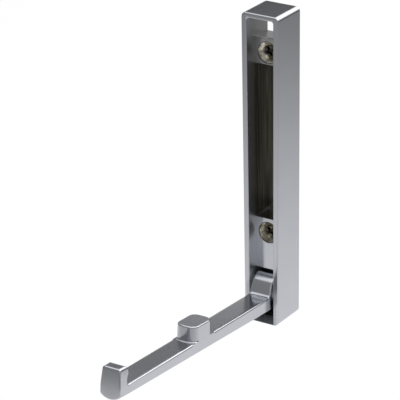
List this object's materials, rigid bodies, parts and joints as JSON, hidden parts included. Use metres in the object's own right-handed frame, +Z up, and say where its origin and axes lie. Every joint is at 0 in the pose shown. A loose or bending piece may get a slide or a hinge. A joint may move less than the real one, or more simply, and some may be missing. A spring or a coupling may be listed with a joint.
{
  "type": "folding coat hook",
  "caption": "Fold-down wall coat hook: a narrow tapered die-cast housing and a hinged arm with a middle knob and an upturned tip, which swings up into the housing when not in use.",
  "frame": {"origin": "on the flat back of the housing, which lies on the wall, midway between the two screws", "axes": "+Z up, +Y into the wall, so the open arm points to -Y, +X to the right seen from the front"},
  "size_m": [0.0154, 0.1236, 0.12],
  "materials": {
    "satin_chrome": "satin",
    "pin_steel": "ground",
    "spring_steel": "bright rolled",
    "nickel_screw": "nickel plated"
  },
  "bodies": {
    "housing": {"housing": "satin_chrome", "pivot_pin": "pin_steel", "washer_left": "spring_steel", "washer_right": "spring_steel", "screw_upper": "nickel_screw", "screw_lower": "nickel_screw"},
    "arm": {"arm": "satin_chrome"}
  },
  "joints": [
    {"name": "arm_fold", "type": "hinge", "parent": "housing", "child": "arm", "pos_m": [0, -0.0093, -0.05729], "axis": [-1, 0, 0], "range_deg": [0, 86.8]}
  ]
}
